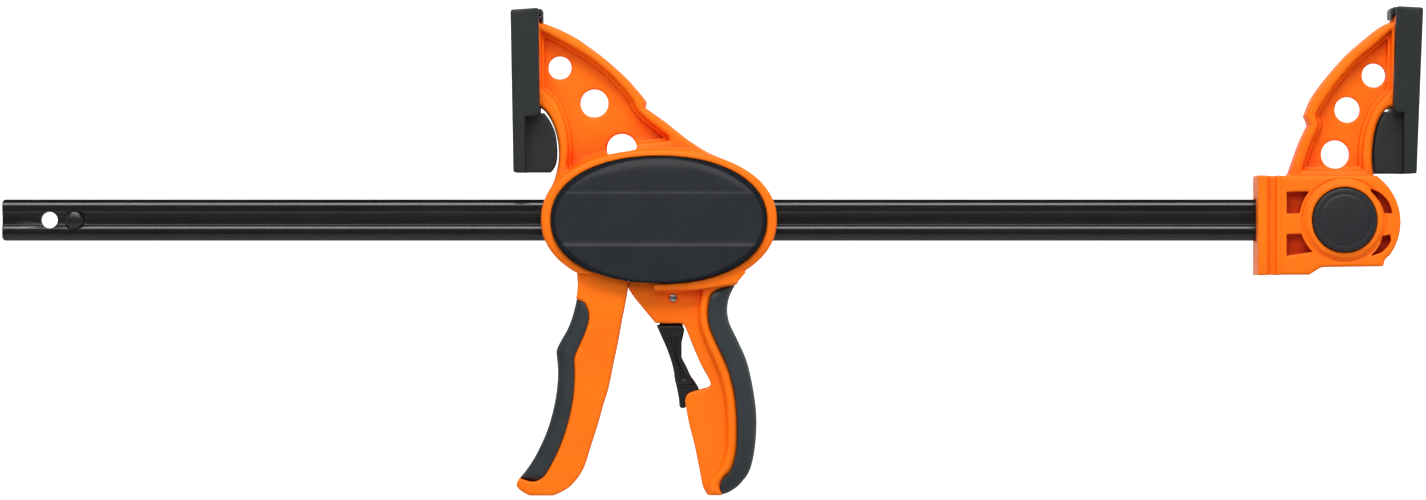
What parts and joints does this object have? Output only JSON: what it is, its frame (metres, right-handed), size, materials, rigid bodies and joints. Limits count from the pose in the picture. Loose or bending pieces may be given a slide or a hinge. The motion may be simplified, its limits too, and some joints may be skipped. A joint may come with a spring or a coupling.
{
  "type": "f clamp",
  "caption": "One-handed trigger bar clamp set up as a spreader: I-section bar, sliding jaw with trigger, handle and release lever, and a fixed jaw held by a push-button pin.",
  "frame": {"origin": "centre of the round locking hole near the free end of the bar", "axes": "+X along the bar from the free end towards the fixed jaw, +Z towards the side of the jaws, Y across the bar along the locking hole"},
  "size_m": [0.6922, 0.0386, 0.2382],
  "materials": {
    "bar_black": "satin black oxide over rolled steel",
    "pin_black": "satin black",
    "orange_nylon": "semi-gloss moulded glass-filled nylon",
    "black_nylon": "fine moulded texture, slate black",
    "pad_rubber": "soft matt moulded pad",
    "grip_rubber": "soft overmoulded grip",
    "lever_nylon": "satin moulded plastic",
    "inner_steel": "plain ground steel",
    "spring_steel": "drawn spring wire",
    "screw_steel": "bright plated"
  },
  "bodies": {
    "bar": {"bar": "bar_black", "bar_stop_pins": "pin_black", "head_frame": "orange_nylon", "head_rear_cap": "black_nylon", "head_pad": "pad_rubber", "button_spring": "spring_steel"},
    "lock_button": {"lock_button": "black_nylon", "lock_yoke": "inner_steel", "lock_pin": "inner_steel"},
    "carriage": {"body_frame": "orange_nylon", "front_cover": "black_nylon", "rear_cover": "black_nylon", "cover_screws": "screw_steel", "handle_grip": "grip_rubber", "jaw_pad": "pad_rubber", "trigger_pivot_pin": "inner_steel", "release_pivot_pin": "screw_steel", "drive_spring": "spring_steel", "brake_spring": "spring_steel"},
    "trigger": {"trigger_lever": "orange_nylon", "trigger_grip": "grip_rubber"},
    "drive": {"drive_plates": "inner_steel"},
    "brake": {"brake_plate": "inner_steel"},
    "release": {"release_lever": "lever_nylon"}
  },
  "joints": [
    {"name": "carriage_slide", "type": "slide", "parent": "bar", "child": "carriage", "axis": [1, 0, 0], "range_m": [-0.223, 0.2325]},
    {"name": "trigger_pivot", "type": "hinge", "parent": "carriage", "child": "trigger", "pos_m": [0.2638, 0, 0.016], "axis": [0, -1, 0], "range_deg": [0, 18], "stiffness_Nm_per_rad": 0.8, "springref_deg": -11.46},
    {"name": "drive_slide", "type": "slide", "parent": "carriage", "child": "drive", "axis": [1, 0, 0], "range_m": [0, 0.0108], "stiffness_N_per_m": 300, "springref_m": -0.01, "deforming": ["drive_spring"]},
    {"name": "release_pivot", "type": "hinge", "parent": "carriage", "child": "release", "pos_m": [0.3045, 0, -0.038], "axis": [0, -1, 0], "range_deg": [0, 7.5], "stiffness_Nm_per_rad": 0.2, "springref_deg": -5.73},
    {"name": "brake_tilt", "type": "hinge", "parent": "carriage", "child": "brake", "pos_m": [0.3047, 0, -0.0125], "axis": [0, 1, 0], "range_deg": [0, 4.9], "stiffness_Nm_per_rad": 0.5, "springref_deg": -5.73, "deforming": ["brake_spring"]},
    {"name": "lock_press", "type": "slide", "parent": "bar", "child": "lock_button", "axis": [0, 1, 0], "range_m": [0, 0.0046], "stiffness_N_per_m": 600, "springref_m": -0.004, "deforming": ["button_spring"]}
  ],
  "couplings": [
    {"joint": "drive_slide", "follows": "trigger_pivot", "m_per_rad": 0.034},
    {"joint": "brake_tilt", "follows": "release_pivot", "ratio": 0.65}
  ]
}
